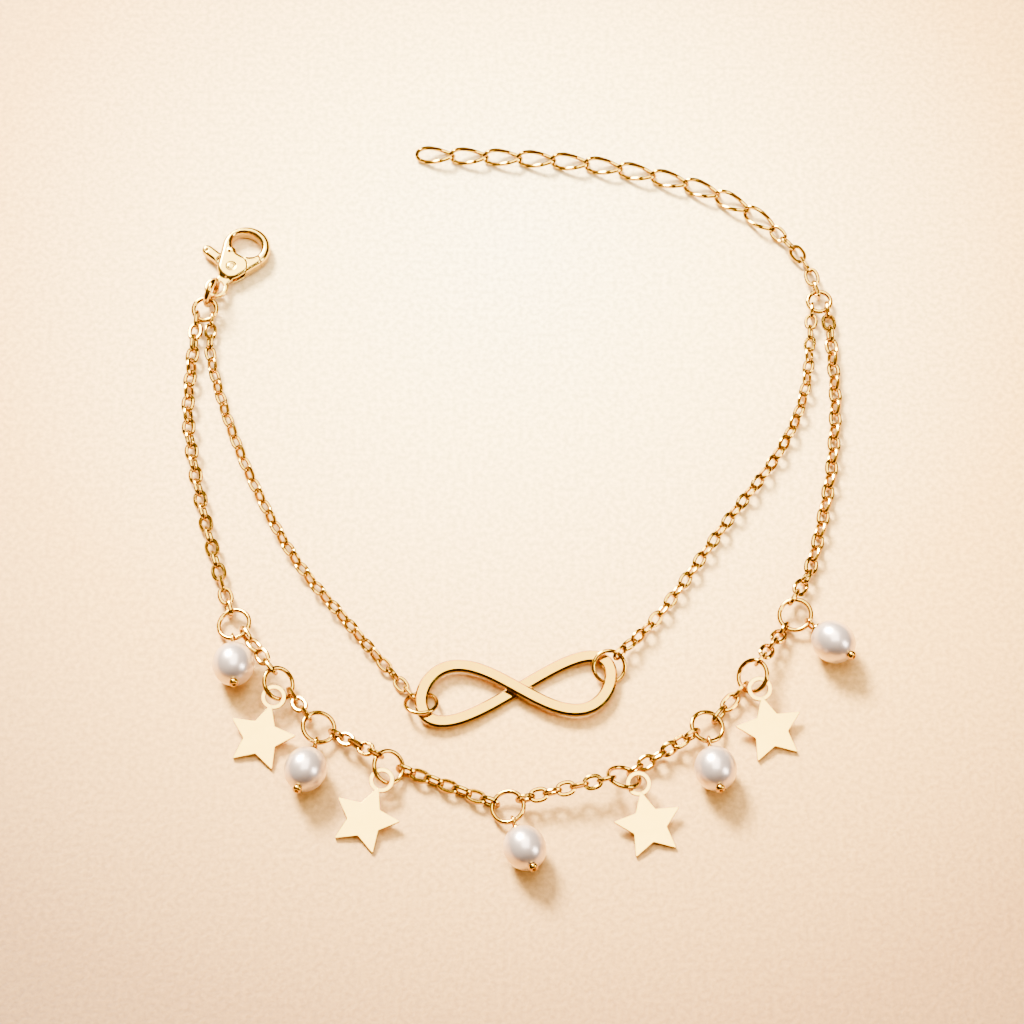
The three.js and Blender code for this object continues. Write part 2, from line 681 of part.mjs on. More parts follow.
parts.push(infinityMesh);

// The middle of the anklet's outline on the table is the origin.
const anklet = new THREE.Group();
anklet.add(...parts);
const bounds = new THREE.Box3().setFromObject(anklet, true);
anklet.position.x = -(bounds.min.x + bounds.max.x) / 2;
anklet.position.y = -(bounds.min.y + bounds.max.y) / 2;
anklet.position.z = -bounds.min.z;

export default anklet;
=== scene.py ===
import math

import bmesh
import bpy
import numpy as np
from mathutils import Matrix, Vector


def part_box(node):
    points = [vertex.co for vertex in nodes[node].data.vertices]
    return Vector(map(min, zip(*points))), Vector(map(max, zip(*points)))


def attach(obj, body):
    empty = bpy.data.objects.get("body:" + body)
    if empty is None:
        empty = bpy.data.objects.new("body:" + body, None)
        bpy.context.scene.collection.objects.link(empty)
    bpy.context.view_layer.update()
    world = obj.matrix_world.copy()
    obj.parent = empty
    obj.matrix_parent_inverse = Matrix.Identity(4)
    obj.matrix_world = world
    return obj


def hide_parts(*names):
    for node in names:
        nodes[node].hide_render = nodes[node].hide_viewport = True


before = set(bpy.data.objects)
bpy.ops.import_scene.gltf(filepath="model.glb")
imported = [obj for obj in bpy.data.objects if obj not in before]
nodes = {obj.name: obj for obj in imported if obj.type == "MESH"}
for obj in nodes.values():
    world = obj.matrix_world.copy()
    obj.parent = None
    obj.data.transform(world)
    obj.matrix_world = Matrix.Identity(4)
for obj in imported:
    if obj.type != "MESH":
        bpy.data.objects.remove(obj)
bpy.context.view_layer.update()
print("frame loaded:", len(nodes), "nodes")

mm = 0.001
up = np.array([0.0, 0.0, 1.0])
weldDepth = 0.1  # how far the links of a chain sink into each other
hookPull = 0.18  # from a ring's wire to the hole of the link that hooks on
clearance = 0.12  # between two pieces that hold each other
clothGap = 0.02  # between the metal and the floor
strandRingPlace = {"x": -47.2, "y": 35.0, "z": 1.5, "bearing": 70, "pitch": 12}


def boxCentre(node):
    low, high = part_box(node)
    return np.array(low + high) / 2 / mm


# What was laid out round the table's own zero stands on the row frame's zero.
shift = boxCentre("strand_ring") - np.array([strandRingPlace[k] for k in "xyz"])
print("shift", shift.round(3))

# Camera.
view = {"elevation": math.radians(62), "distance": 0.64, "sensor": 24, "lens": 100}
target = (shift + up) * mm
toCamera = np.array([0, -math.cos(view["elevation"]), math.sin(view["elevation"])])
camera = bpy.data.objects.new("camera", bpy.data.cameras.new("camera"))
camera.data.sensor_fit = "HORIZONTAL"
camera.data.sensor_width = view["sensor"]
camera.data.lens = view["lens"]
camera.data.clip_start = 0.01
camera.location = target + view["distance"] * toCamera
camera.rotation_euler = (math.pi / 2 - view["elevation"], 0, 0)
bpy.context.scene.collection.objects.link(camera)
bpy.context.scene.camera = camera


def unit(vector):
    return vector / np.linalg.norm(vector, axis=-1, keepdims=True)


def turned(vector, axis, angle):
    c, s = math.cos(angle), math.sin(angle)
    return vector * c + np.cross(axis, vector) * s + axis * (axis @ vector) * (1 - c)


def ringFrame(place, ring):
    bearing = math.radians(place["bearing"])
    toward = np.array([math.cos(bearing), math.sin(bearing), 0.0])
    side = turned(np.cross(up, toward), toward, math.radians(place.get("roll", 0)))
    toward = turned(toward, side, -math.radians(place.get("pitch", 0)))
    centre = np.array([place["x"], place["y"], place["z"]]) + shift
    return {"centre": centre, "toward": toward, "side": side,
            "normal": np.cross(toward, side), "ring": ring, "bearing": bearing}


def hookAt(ringPlace, bearing):
    angle = math.radians(bearing) - ringPlace["bearing"]
    radial = ringPlace["toward"] * math.cos(angle) + ringPlace["side"] * math.sin(angle)
    point = ringPlace["centre"] + radial * ringPlace["ring"]["radius"]
    return {"point": point, "tangent": np.cross(ringPlace["normal"], radial)}


# Links keep the place that wire gives them in the source, and are drawn as stout as shown.
# lean turns the links of a long stretch away from flat and upright, in degrees.
outerChain = {"wire": 0.5, "width": 2.25, "pitch": 2.1, "shown": 0.66, "lean": 28}
innerChain = {"wire": 0.42, "width": 1.95, "pitch": 2.0, "shown": 0.56, "lean": -32}
routeHeight = outerChain["width"] / 2


def hookOffset(chain):
    return (chain["wire"] - weldDepth) / 2 + hookPull


def smoothRoute(points):
    points = [np.array(p, float) for p in points]
    points = [2 * points[0] - points[1]] + points + [2 * points[-1] - points[-2]]
    samples = []
    for a, b, c, d in zip(points, points[1:], points[2:], points[3:]):
        for t in np.linspace(0, 1, 200, endpoint=False):
            pull, push = (c - a) / 2, (d - b) / 2
            samples.append(b + pull * t + (3 * (c - b) - 2 * pull - push) * t ** 2
                           + (2 * (b - c) + pull + push) * t ** 3)
    samples.append(points[-2])
    samples = np.array(samples)
    along = np.concatenate([[0], np.cumsum(np.linalg.norm(np.diff(samples, axis=0), axis=1))])

    def at(station):
        here = np.array([np.interp(station, along, samples[:, k]) for k in range(3)])
        ahead = np.array([np.interp(station + 0.05, along, samples[:, k]) for k in range(3)])
        behind = np.array([np.interp(station - 0.05, along, samples[:, k]) for k in range(3)])
        return here, unit(ahead - behind)
    return at, along[-1]


def rollThrough(axis, wireDirection):
    side = unit(np.cross(up, axis))
    above = np.cross(axis, side)
    return math.atan2(wireDirection @ side, wireDirection @ above)


def linkPlace(chain, centre, axis, roll, pitch):
    length = pitch + 2 * chain["wire"] - weldDepth
    return {"chain": chain, "centre": centre, "axis": axis, "roll": roll, "length": length}


# Only a long stretch has a route, and its lean fades out towards its ends.
def chainLinks(chain, start, end, route=()):
    middle = [np.array([x, y, routeHeight]) + shift for x, y in route]
    at, length = smoothRoute([start["point"], *middle, end["point"]])
    first = hookOffset(chain)
    last = length - first
    count = max(2, math.floor((last - first) / chain["pitch"] + 0.5) + 1)
    pitch = (last - first) / (count - 1)
    places = [at(first + i * pitch) for i in range(count)]
    startRoll = rollThrough(places[0][1], start["tangent"])
    endRoll = rollThrough(places[-1][1], end["tangent"])
    rest = endRoll - startRoll - (count - 1) * math.pi / 2
    rest -= math.floor(rest / math.pi + 0.5) * math.pi
    lean = math.radians(chain["lean"]) if route else 0
    fadeLinks = 4
    links = []
    for i, (centre, axis) in enumerate(places):
        fromEnd = min(1, i / fadeLinks, (count - 1 - i) / fadeLinks)
        roll = startRoll + i * (math.pi / 2 + rest / (count - 1)) + lean * fromEnd
        links.append(linkPlace(chain, centre, axis, roll, pitch))
    return links


extenderSmall = {"wire": 0.52, "width": 2.3, "pitch": 2.35, "shown": 0.58, "count": 6}
extenderLarge = {
    "wire": 0.56, "width": 3.0, "pitch": 5.3, "shown": 0.66, "count": 11, "twist": -math.pi / 4,
}
extenderRoute = [
    (45.4, 43.3, 1.15), (40.9, 49.3, 1.1), (33.5, 55.2, 0.95),
    (23.2, 59.3, 0.95), (7.3, 62.4, 0.95), (-18.0, 63.7, 0.95),
]


def extenderLinks(start):
    at, length = smoothRoute([start["point"], *[np.array(p) + shift for p in extenderRoute]])
    startRoll = rollThrough(at(0.06)[1], start["tangent"])
    smallCount = extenderSmall["count"]
    rest = extenderLarge["twist"] - startRoll - (smallCount - 1) * math.pi / 2
    rest -= math.floor(rest / math.pi + 0.5) * math.pi
    kinds = [extenderSmall] * smallCount + [extenderLarge] * extenderLarge["count"]
    station = hookOffset(extenderSmall)
    links = []
    for i, kind in enumerate(kinds):
        if i:
            station += (kind["pitch"] + kinds[i - 1]["pitch"]) / 2
        roll = 0
        if i < smallCount:
            roll = startRoll + i * (math.pi / 2 + rest / (smallCount - 1))
        links.append(linkPlace(kind, *at(station), roll, kind["pitch"]))
    return links


# A shape is its points in millimetres and its faces. makeMesh joins several into one mesh.
def sweep(points, outward, lift, section, closed=True):
    section = np.array(section)
    n, m = len(points), len(section)
    grid = (points[:, None] + outward[:, None] * section[None, :, :1] + lift[:, None] * section[None, :, 1:])
    faces = [
        (i * m + j, (i + 1) % n * m + j, (i + 1) % n * m + (j + 1) % m, i * m + (j + 1) % m)
        for i in range(n if closed else n - 1) for j in range(m)
    ]
    if not closed:
        faces += [tuple(range(m)), tuple(range((n - 1) * m, n * m))]
    return grid.reshape(-1, 3), faces


def roundSection(radius, sides):
    angles = np.arange(sides) / sides * 2 * math.pi
    return np.stack([np.cos(angles), np.sin(angles)], 1) * radius


def wireLoop(curve, lift, radius, sides):
    along = unit(np.roll(curve, -1, 0) - np.roll(curve, 1, 0))
    outward = unit(np.cross(along, lift))
    return sweep(curve, outward, np.cross(outward, along), roundSection(radius, sides))


def aboveFloor(points):
    points[:, 2] += max(0, clothGap / 2 - points[:, 2].min())
    return points


def linkShape(link, steps=26, sides=10, roundness=0.84):
    chain = link["chain"]
    long = link["length"] / 2 - chain["wire"] / 2
    wide = chain["width"] / 2 - chain["wire"] / 2
    angles = np.arange(steps) / steps * 2 * math.pi
    x = long * np.sign(np.cos(angles)) * np.abs(np.cos(angles)) ** roundness
    y = wide * np.sign(np.sin(angles)) * np.abs(np.sin(angles)) ** roundness
    turn = chain.get("twist", 0) * x / long
    side = unit(np.cross(up, link["axis"]))
    above = np.cross(link["axis"], side)
    side = turned(side, link["axis"], link["roll"])
    above = turned(above, link["axis"], link["roll"])
    lift = -np.sin(turn)[:, None] * side + np.cos(turn)[:, None] * above
    across = np.cos(turn)[:, None] * side + np.sin(turn)[:, None] * above
    curve = link["centre"] + x[:, None] * link["axis"] + y[:, None] * across
    points, faces = wireLoop(curve, lift, chain["shown"] / 2, sides)
    return aboveFloor(points), faces


def ringShape(place, steps=56, sides=16):
    angles = np.arange(steps) / steps * 2 * math.pi
    radial = np.cos(angles)[:, None] * place["toward"] + np.sin(angles)[:, None] * place["side"]
    curve = place["centre"] + radial * place["ring"]["shownRadius"]
    lift = np.repeat(place["normal"][None], steps, 0)
    points, faces = sweep(curve, radial, lift, roundSection(place["ring"]["shownWire"] / 2, sides))
    return aboveFloor(points), faces


# A profile of (along X, radius) turned about X, in the basis that starts at origin.
def turnedShape(profile, basis, origin, steps=40):
    profile = np.array(profile, float)
    angles = np.arange(steps) / steps * 2 * math.pi
    local = np.stack([
        np.repeat(profile[None, :, 0], steps, 0),
        np.cos(angles)[:, None] * profile[None, :, 1],
        np.sin(angles)[:, None] * profile[None, :, 1],
    ], -1)
    n, m = steps, len(profile)
    faces = [
        (i * m + j, (i + 1) % n * m + j, (i + 1) % n * m + (j + 1) % m, i * m + (j + 1) % m)
        for i in range(n) for j in range(m)
    ]
    return local.reshape(-1, 3) @ basis + origin, faces


def leaningBasis(bearing, rise):
    x = np.array([math.cos(rise) * math.cos(bearing), math.cos(rise) * math.sin(bearing), math.sin(rise)])
    y = np.array([-math.sin(bearing), math.cos(bearing), 0.0])
    return np.stack([x, y, np.cross(x, y)])


def makeMesh(name, shapes):
    points, faces, start = [], [], 0
    for shapePoints, shapeFaces in shapes:
        points.append(shapePoints)
        faces += [tuple(start + k for k in face) for face in shapeFaces]
        start += len(shapePoints)
    mesh = bpy.data.meshes.new(name)
    mesh.from_pydata((np.concatenate(points) * mm).tolist(), [], faces)
    shell = bmesh.new()
    shell.from_mesh(mesh)
    bmesh.ops.remove_doubles(shell, verts=shell.verts, dist=1e-4 * mm)
    bmesh.ops.recalc_face_normals(shell, faces=shell.faces)
    shell.to_mesh(mesh)
    shell.free()
    return mesh


def makePiece(name, mesh, material, slot, replaced, body="anklet", crease=35):
    mesh.shade_smooth()
    mesh.set_sharp_from_angle(angle=math.radians(crease))
    mesh.materials.clear()
    mesh.materials.append(material)
    piece = bpy.data.objects.new(name, mesh)
    bpy.context.scene.collection.objects.link(piece)
    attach(piece, body)
    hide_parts(*replaced)
    return piece


def madeOf(name, shapes, material, slot, replaced, **more):
    return makePiece(name, makeMesh(name, shapes), material, slot, replaced, **more)


# Materials.
def nodeSetup(material):
    material.use_nodes = True
    tree = material.node_tree
    shader = next(n for n in tree.nodes if n.type == "BSDF_PRINCIPLED")
    return tree, shader


def addNode(tree, kind, **settings):
    node = tree.nodes.new(kind)
    for key, value in settings.items():
        setattr(node, key, value)
    return node


def ramp(tree, stops):
    node = tree.nodes.new("ShaderNodeValToRGB")
    elements = node.color_ramp.elements
    while len(elements) > 1:
        elements.remove(elements[-1])
    elements[0].position, elements[0].color = stops[0][0], (*stops[0][1], 1)
    for position, colour in stops[1:]:
        elements.new(position).color = (*colour, 1)
    return node


# Polished plating: a slightly uneven tone, soft wear marks in the gloss and a faint ripple.
def platingGroup():
    group = bpy.data.node_groups.new("plating", "ShaderNodeTree")
    socket = group.interface.new_socket
    socket("Bright", in_out="INPUT", socket_type="NodeSocketColor")
    socket("Deep", in_out="INPUT", socket_type="NodeSocketColor")
    rough = socket("Rough", in_out="INPUT", socket_type="NodeSocketFloat")
    rough.default_value = 0.12
    ripple = socket("Ripple", in_out="INPUT", socket_type="NodeSocketFloat")
    ripple.default_value = 0.1
    socket("Colour", in_out="OUTPUT", socket_type="NodeSocketColor")
    socket("Roughness", in_out="OUTPUT", socket_type="NodeSocketFloat")
    socket("Normal", in_out="OUTPUT", socket_type="NodeSocketVector")
    enter = group.nodes.new("NodeGroupInput")
    leave = group.nodes.new("NodeGroupOutput")
    place = group.nodes.new("ShaderNodeTexCoord")
    patches = group.nodes.new("ShaderNodeTexNoise")
    patches.inputs["Scale"].default_value = 420
    patches.inputs["Detail"].default_value = 3
    marks = group.nodes.new("ShaderNodeTexNoise")
    marks.inputs["Scale"].default_value = 2600
    marks.inputs["Detail"].default_value = 2
    mix = addNode(group, "ShaderNodeMix", data_type="RGBA")
    spread = addNode(group, "ShaderNodeMapRange")
    spread.inputs["From Min"].default_value = 0.3
    spread.inputs["From Max"].default_value = 0.7
    spread.inputs["To Min"].default_value = -0.04
    spread.inputs["To Max"].default_value = 0.06
    total = addNode(group, "ShaderNodeMath", operation="ADD")
    bump = group.nodes.new("ShaderNodeBump")
    bump.inputs["Distance"].default_value = 0.00003
    link = group.links.new
    link(place.outputs["Object"], patches.inputs["Vector"])
    link(place.outputs["Object"], marks.inputs["Vector"])
    link(patches.outputs["Fac"], mix.inputs["Factor"])
    link(enter.outputs["Deep"], mix.inputs[6])
    link(enter.outputs["Bright"], mix.inputs[7])
    link(mix.outputs[2], leave.inputs["Colour"])
    link(marks.outputs["Fac"], spread.inputs["Value"])
    link(spread.outputs["Result"], total.inputs[0])
    link(enter.outputs["Rough"], total.inputs[1])
    link(total.outputs[0], leave.inputs["Roughness"])
    link(patches.outputs["Fac"], bump.inputs["Height"])
    link(enter.outputs["Ripple"], bump.inputs["Strength"])
    link(bump.outputs["Normal"], leave.inputs["Normal"])
    return group


plating = platingGroup()


def goldMaterial(name, bright, deep, rough, ripple):
    material = bpy.data.materials.new(name)
    tree, shader = nodeSetup(material)
    platedToneAndPaintedLight = tree.nodes.new("ShaderNodeGroup")
    platedToneAndPaintedLight.node_tree = plating
    platedToneAndPaintedLight.inputs["Bright"].default_value = (*bright, 1)
    platedToneAndPaintedLight.inputs["Deep"].default_value = (*deep, 1)
    platedToneAndPaintedLight.inputs["Rough"].default_value = rough
    platedToneAndPaintedLight.inputs["Ripple"].default_value = ripple
    shader.inputs["Metallic"].default_value = 1
    tree.links.new(platedToneAndPaintedLight.outputs["Colour"], shader.inputs["Base Color"])
    tree.links.new(platedToneAndPaintedLight.outputs["Roughness"], shader.inputs["Roughness"])
    tree.links.new(platedToneAndPaintedLight.outputs["Normal"], shader.inputs["Normal"])
    return material


# One gold plating, set at a different level for each part. The star and clasp golds are lighter: painted
# light for faces that catch the top light. The chain and ring golds are darker: painted shade for the shaded
# wires. The infinity gold is set darkest. Within each level, bright and deep are the plating's own uneven
# tone.
goldTonesAndPaintedLight = {
    "chain_gold_painted_shade": {"bright": (0.56, 0.34, 0.022), "deep": (0.42, 0.23, 0.008), "rough": 0.13, "ripple": 0.25},
    "ring_gold_painted_shade": {"bright": (0.58, 0.355, 0.026), "deep": (0.45, 0.25, 0.01), "rough": 0.11, "ripple": 0.15},
    "clasp_gold_painted_light": {"bright": (0.74, 0.51, 0.08), "deep": (0.66, 0.43, 0.055), "rough": 0.14, "ripple": 0.1},
    "infinity_gold": {"bright": (0.5, 0.3, 0.018), "deep": (0.43, 0.24, 0.01), "rough": 0.1, "ripple": 0.05},
    "star_gold_painted_light": {"bright": (0.84, 0.58, 0.085), "deep": (0.78, 0.51, 0.06), "rough": 0.2, "ripple": 0.1},
}
golds = {name: goldMaterial(name, **platedToneAndPaintedLight) for name, platedToneAndPaintedLight in goldTonesAndPaintedLight.items()}


def pearlMaterial():
    material = bpy.data.materials.new("pearl_coating")
    tree, shader = nodeSetup(material)
    place = tree.nodes.new("ShaderNodeTexCoord")
    cloud = tree.nodes.new("ShaderNodeTexNoise")
    cloud.inputs["Scale"].default_value = 260
    cloud.inputs["Detail"].default_value = 3
    tint = ramp(tree, [(0.35, (0.86, 0.76, 0.64)), (0.5, (0.97, 0.87, 0.75)), (0.65, (0.93, 0.82, 0.66))])
    # Painted reflection: the facing ramp paints a warm floor reflection round the pearl's edge, stronger
    # where the surface turns away from the camera. The cloud tint is the pearl's own uneven tone.
    facing = tree.nodes.new("ShaderNodeLayerWeight")
    facing.inputs["Blend"].default_value = 0.35
    paintedRimReflection = ramp(tree, [(0.0, (0.66, 0.57, 0.54)), (0.45, (0.74, 0.62, 0.54)), (0.8, (0.98, 0.70, 0.40))])
    mix = addNode(tree, "ShaderNodeMix", data_type="RGBA", blend_type="MULTIPLY")
    mix.inputs["Factor"].default_value = 0.5
    bump = tree.nodes.new("ShaderNodeBump")
    bump.inputs["Distance"].default_value = 0.00005
    bump.inputs["Strength"].default_value = 0.3
    link = tree.links.new
    link(place.outputs["Object"], cloud.inputs["Vector"])
    link(cloud.outputs["Fac"], tint.inputs["Fac"])
    link(facing.outputs["Facing"], paintedRimReflection.inputs["Fac"])
    link(paintedRimReflection.outputs["Color"], mix.inputs[6])
    link(tint.outputs["Color"], mix.inputs[7])
    link(mix.outputs[2], shader.inputs["Base Color"])
    link(cloud.outputs["Fac"], bump.inputs["Height"])
    link(bump.outputs["Normal"], shader.inputs["Normal"])
    shader.inputs["Metallic"].default_value = 0.75
    shader.inputs["Roughness"].default_value = 0.3
    shader.inputs["Coat Weight"].default_value = 1
    shader.inputs["Coat Roughness"].default_value = 0.06
    return material


pearlCoat = pearlMaterial()
print("materials made")

# Rings and chains. Chains hook on at a ring's radius, and the ring is drawn as shownRadius and shownWire
# say. Hooks are bearings in degrees.
strandRing = {"radius": 1.75, "shownRadius": 1.77, "shownWire": 0.74}
strandHooks = {"outer": 228, "inner": 306}
junctionRing = {"radius": 1.75, "shownRadius": 1.77, "shownWire": 0.7}
junctionPlace = {"x": 47.3, "y": 36.6, "z": 1.15, "bearing": -90}
junctionHooks = {"outer": -48, "inner": -132, "extender": 100}
strandPlace = ringFrame(strandRingPlace, strandRing)
junctionFrame = ringFrame(junctionPlace, junctionRing)


charmRing = {"radius": 2.45, "wire": 0.56, "shownRadius": 2.35, "shownWire": 0.7}
charmColumns = ("kind", "x", "y", "roll", "comesIn", "leaves", "toward", "swing")
charmRows = [dict(zip(charmColumns, row)) for row in (
    ("pearl", -41.1, -19.0, 14, 108, -45, -92, 6),
    ("star", -34.2, -29.2, -32, 122, -28, -106, -1),
    ("pearl", -28.2, -36.0, -14, 136, -18, -98, -8),
    ("star", -17.9, -42.6, -32, 140, -2, -114, 1),
    ("pearl", -0.6, -48.6, 14, 160, 25, -71, 0),
    ("star", 16.2, -44.3, -33, 200, 52, -26, -50),
    ("pearl", 28.5, -35.8, -14, 213, 48, -85, 4),
    ("star", 35.3, -28.0, 34, 219, 58, -66, -10),
    ("pearl", 41.9, -17.6, 12, 232, 96, -36, -12),
)]


def charmRingFrame(row):
    sag = min(
        math.sin(math.radians(row["roll"])) * math.sin(math.radians(row[end] - row["toward"]))
        for end in ("comesIn", "leaves")
    ) * charmRing["radius"]
    return ringFrame({**row, "bearing": row["toward"], "z": routeHeight - sag + 2 * clothGap}, charmRing)


infinity = {
    "halfLength": 13.9, "halfHeight": 4.35, "slant": 0.25, "band": 1.9, "thickness": 1.05,
    "crossingGap": 0.12, "endRise": 0.22, "edge": 0.3, "edgeSoft": 0.05,
}
infinityPlace = {"x": 0.6, "y": -29.5, "bearing": 5}
infinityRing = {"radius": 2.35, "wire": 0.55, "shownRadius": 2.35, "shownWire": 0.63}
infinityHold = {"left": {"angle": 172, "roll": 27}, "right": {"angle": 16, "roll": -27}}
infinityHooks = {"left": 130, "right": 55}


def infinityPoint(angle):
    lift = (infinity["thickness"] + infinity["crossingGap"]) / 2
    y = infinity["halfHeight"] * np.sin(2 * angle)
    x = infinity["halfLength"] * np.cos(angle) + infinity["slant"] * y
    z = (lift * (1 - np.sin(angle) ** 3) + infinity["endRise"] * np.cos(angle) ** 2
         + infinity["thickness"] / 2 + clothGap)
    turn = math.radians(infinityPlace["bearing"])
    return np.stack([
        x * math.cos(turn) - y * math.sin(turn) + infinityPlace["x"] + shift[0],
        x * math.sin(turn) + y * math.cos(turn) + infinityPlace["y"] + shift[1],
        z + shift[2],
    ], -1)


def infinityRingFrame(hold):
    angle = math.radians(hold["angle"])
    centre = infinityPoint(angle) - shift
    along = infinityPoint(angle + 0.001) - infinityPoint(angle - 0.001)
    height = infinityRing["radius"] * math.sin(math.radians(abs(hold["roll"]))) + infinityRing["wire"] / 2
    return ringFrame({
        "x": centre[0], "y": centre[1], "z": height + clothGap,
        "bearing": math.degrees(math.atan2(along[1], along[0])) + 90, "roll": hold["roll"],
    }, infinityRing)


claspPlace = {"x": -45.6, "y": 38.9, "bearing": 52}
claspLink = {"radius": 2.0, "wire": 0.85, "shownRadius": 1.98, "shownWire": 0.92}
claspLinkPlace = {"reach": 1.6, "bearing": 67}


def claspLinkFrame():
    bearing = math.radians(claspLinkPlace["bearing"])
    return ringFrame({
        "x": claspPlace["x"] - math.cos(bearing) * claspLinkPlace["reach"],
        "y": claspPlace["y"] - math.sin(bearing) * claspLinkPlace["reach"],
        "z": claspLink["radius"] + claspLink["wire"] / 2 + clothGap,
        "bearing": claspLinkPlace["bearing"], "roll": 90,
    }, claspLink)


charmFrames = [charmRingFrame(row) for row in charmRows]
leftRing = infinityRingFrame(infinityHold["left"])
rightRing = infinityRingFrame(infinityHold["right"])
ringPlaces = {
    "strand_ring": strandPlace, "junction_ring": junctionFrame, "clasp_link_ring": claspLinkFrame(),
    "infinity_ring_left": leftRing, "infinity_ring_right": rightRing,
}
ringPlaces.update({f"charm_ring_{i + 1}": place for i, place in enumerate(charmFrames)})
mostDrift = 0.05
for node, place in ringPlaces.items():
    drift = np.abs(boxCentre(node) - place["centre"]).max()
    if drift > mostDrift:
        raise ValueError(f"{node} is {drift:.2f} mm away from its solid")
    slot = "clasp_metal" if node == "clasp_link_ring" else "ring_metal"
    madeOf(node + "_round", [ringShape(place)], golds["ring_gold_painted_shade"], slot, [node])

outerLeftRoute = [(-48.9, 26.5), (-49.2, 17.0), (-48.0, 8.0), (-45.6, -3.0)]
outerRightRoute = [(44.6, -9.0), (47.8, 5.0), (49.1, 17.0), (49.0, 27.0)]
innerLeftRoute = [(-46.0, 26.5), (-43.0, 15.5), (-38.3, 3.5), (-32.0, -8.5), (-24.0, -19.0)]
innerRightRoute = [(22.0, -17.0), (32.0, -2.0), (40.5, 10.5), (44.6, 21.0)]
chains = {
    "outer_chain_left": chainLinks(
        outerChain, hookAt(strandPlace, strandHooks["outer"]),
        hookAt(charmFrames[0], charmRows[0]["comesIn"]), outerLeftRoute),
    "outer_chain_right": chainLinks(
        outerChain, hookAt(charmFrames[-1], charmRows[-1]["leaves"]),
        hookAt(junctionFrame, junctionHooks["outer"]), outerRightRoute),
    "inner_chain_left": chainLinks(
        innerChain, hookAt(strandPlace, strandHooks["inner"]),
        hookAt(leftRing, infinityHooks["left"]), innerLeftRoute),
    "inner_chain_right": chainLinks(
        innerChain, hookAt(rightRing, infinityHooks["right"]),
        hookAt(junctionFrame, junctionHooks["inner"]), innerRightRoute),
    "extender_chain": extenderLinks(hookAt(junctionFrame, junctionHooks["extender"])),
}
for i in range(len(charmRows) - 1):
    chains[f"outer_chain_{i + 1}_{i + 2}"] = chainLinks(
        outerChain, hookAt(charmFrames[i], charmRows[i]["leaves"]),
        hookAt(charmFrames[i + 1], charmRows[i + 1]["comesIn"]))
for node, links in chains.items():
    madeOf(node + "_links", [linkShape(link) for link in links], golds["chain_gold_painted_shade"], "chain_metal", [node])
print("rings and chains made:", sum(len(links) for links in chains.values()), "links")


# Pearl drops.
pearl = {"radius": 3.05, "halfLength": 3.45, "bore": 0.5, "fullness": 0.05}
headpin = {"wire": 0.34, "loopRadius": 0.95, "loopWire": 0.45, "capRadius": 1.05, "capLength": 0.55}
endBead = {"radius": 0.72, "middle": 0.42, "halfLength": 0.5, "tip": 0.86, "dimple": 0.24}


def pearlEnd():
    return pearl["halfLength"] * math.sin(math.acos(pearl["bore"] / pearl["radius"]))


def makePearl(number, place, row):
    loopShift = (headpin["loopRadius"] - headpin["loopWire"] / 2 - charmRing["wire"] / 2) / 2
    origin = place["centre"] + place["toward"] * (charmRing["radius"] + loopShift)
    reach = pearlEnd() + clearance + headpin["capLength"] + headpin["loopRadius"]
    rise = math.asin((pearl["radius"] + clothGap + pearl["fullness"] - origin[2]) / reach)
    basis = leaningBasis(math.radians(row["toward"] + row["swing"]), rise)
    edge = math.acos(pearl["bore"] / pearl["radius"])
    angles = np.linspace(-edge, edge, 40)
    long, wide = pearl["halfLength"] + pearl["fullness"], pearl["radius"] + pearl["fullness"]
    profile = np.stack([reach + np.sin(angles) * long, np.cos(angles) * wide], 1)
    bead = turnedShape(profile, basis, origin, 64)
    madeOf(f"pearl_{number}_bead", [bead], pearlCoat, "pearl", [f"pearl_{number}"], crease=60)

    seat = reach - pearlEnd() - clearance
    far = reach + pearlEnd() + clearance
    cap = headpin["capRadius"]
    wire = headpin["wire"]
    profile = [
        (seat - headpin["capLength"] - 0.2, 0.001), (seat - headpin["capLength"] - 0.12, 0.3),
        (seat - headpin["capLength"], 0.5), (seat - 0.42, 0.62), (seat - 0.22, cap * 0.86),
        (seat - 0.06, cap), (seat + 0.06, cap), (seat + 0.08, cap * 0.86), (seat, wire),
        (far - 0.02, wire), (far - 0.02, endBead["radius"] * 0.7),
    ]
    for angle in np.radians(np.linspace(-60, 62, 9)):
        profile.append((far + endBead["middle"] + endBead["halfLength"] * math.sin(angle),
                        endBead["radius"] * math.cos(angle) ** 0.7))
    tip, dimple = far + endBead["tip"], endBead["dimple"]
    profile += [(tip, dimple + 0.04), (tip - dimple, dimple), (tip - dimple - 0.02, 0.001)]
    pin = turnedShape(profile, basis, origin, 28)
    loop = ringShape({
        "centre": origin, "toward": basis[0], "side": basis[2], "normal": basis[1],
        "ring": {"shownRadius": headpin["loopRadius"], "shownWire": headpin["loopWire"]},
    }, 32, 12)
    madeOf(f"pearl_pin_{number}_turned", [pin, loop], golds["ring_gold_painted_shade"], "ring_metal",
           [f"pearl_pin_{number}"])


# Star charms.
star = {"tip": 5.25, "valley": 2.6, "thickness": 0.55, "tipCut": 0.42, "valleyCut": 0.12, "edge": 0.09}
starLoop = {"hole": 1.2, "outer": 1.85, "thickness": 0.48, "reach": 6.3, "edge": 0.08}


def starOutline():
    corners = []
    for i in range(10):
        angle = math.pi + i * math.pi / 5
        reach = star["tip"] if i % 2 == 0 else star["valley"]
        corners.append(np.array([math.cos(angle), math.sin(angle)]) * reach)
    outline = []
    for i, corner in enumerate(corners):
        before, after = corners[i - 1], corners[(i + 1) % 10]
        cutBack = star["tipCut"] if i % 2 == 0 else star["valleyCut"]
        a = corner + unit(before - corner) * cutBack
        b = corner + unit(after - corner) * cutBack
        for t in np.linspace(0, 1, 6 if i % 2 == 0 else 3):
            outline.append(a * (1 - t) ** 2 + corner * 2 * t * (1 - t) + b * t ** 2)
    return np.array(outline)


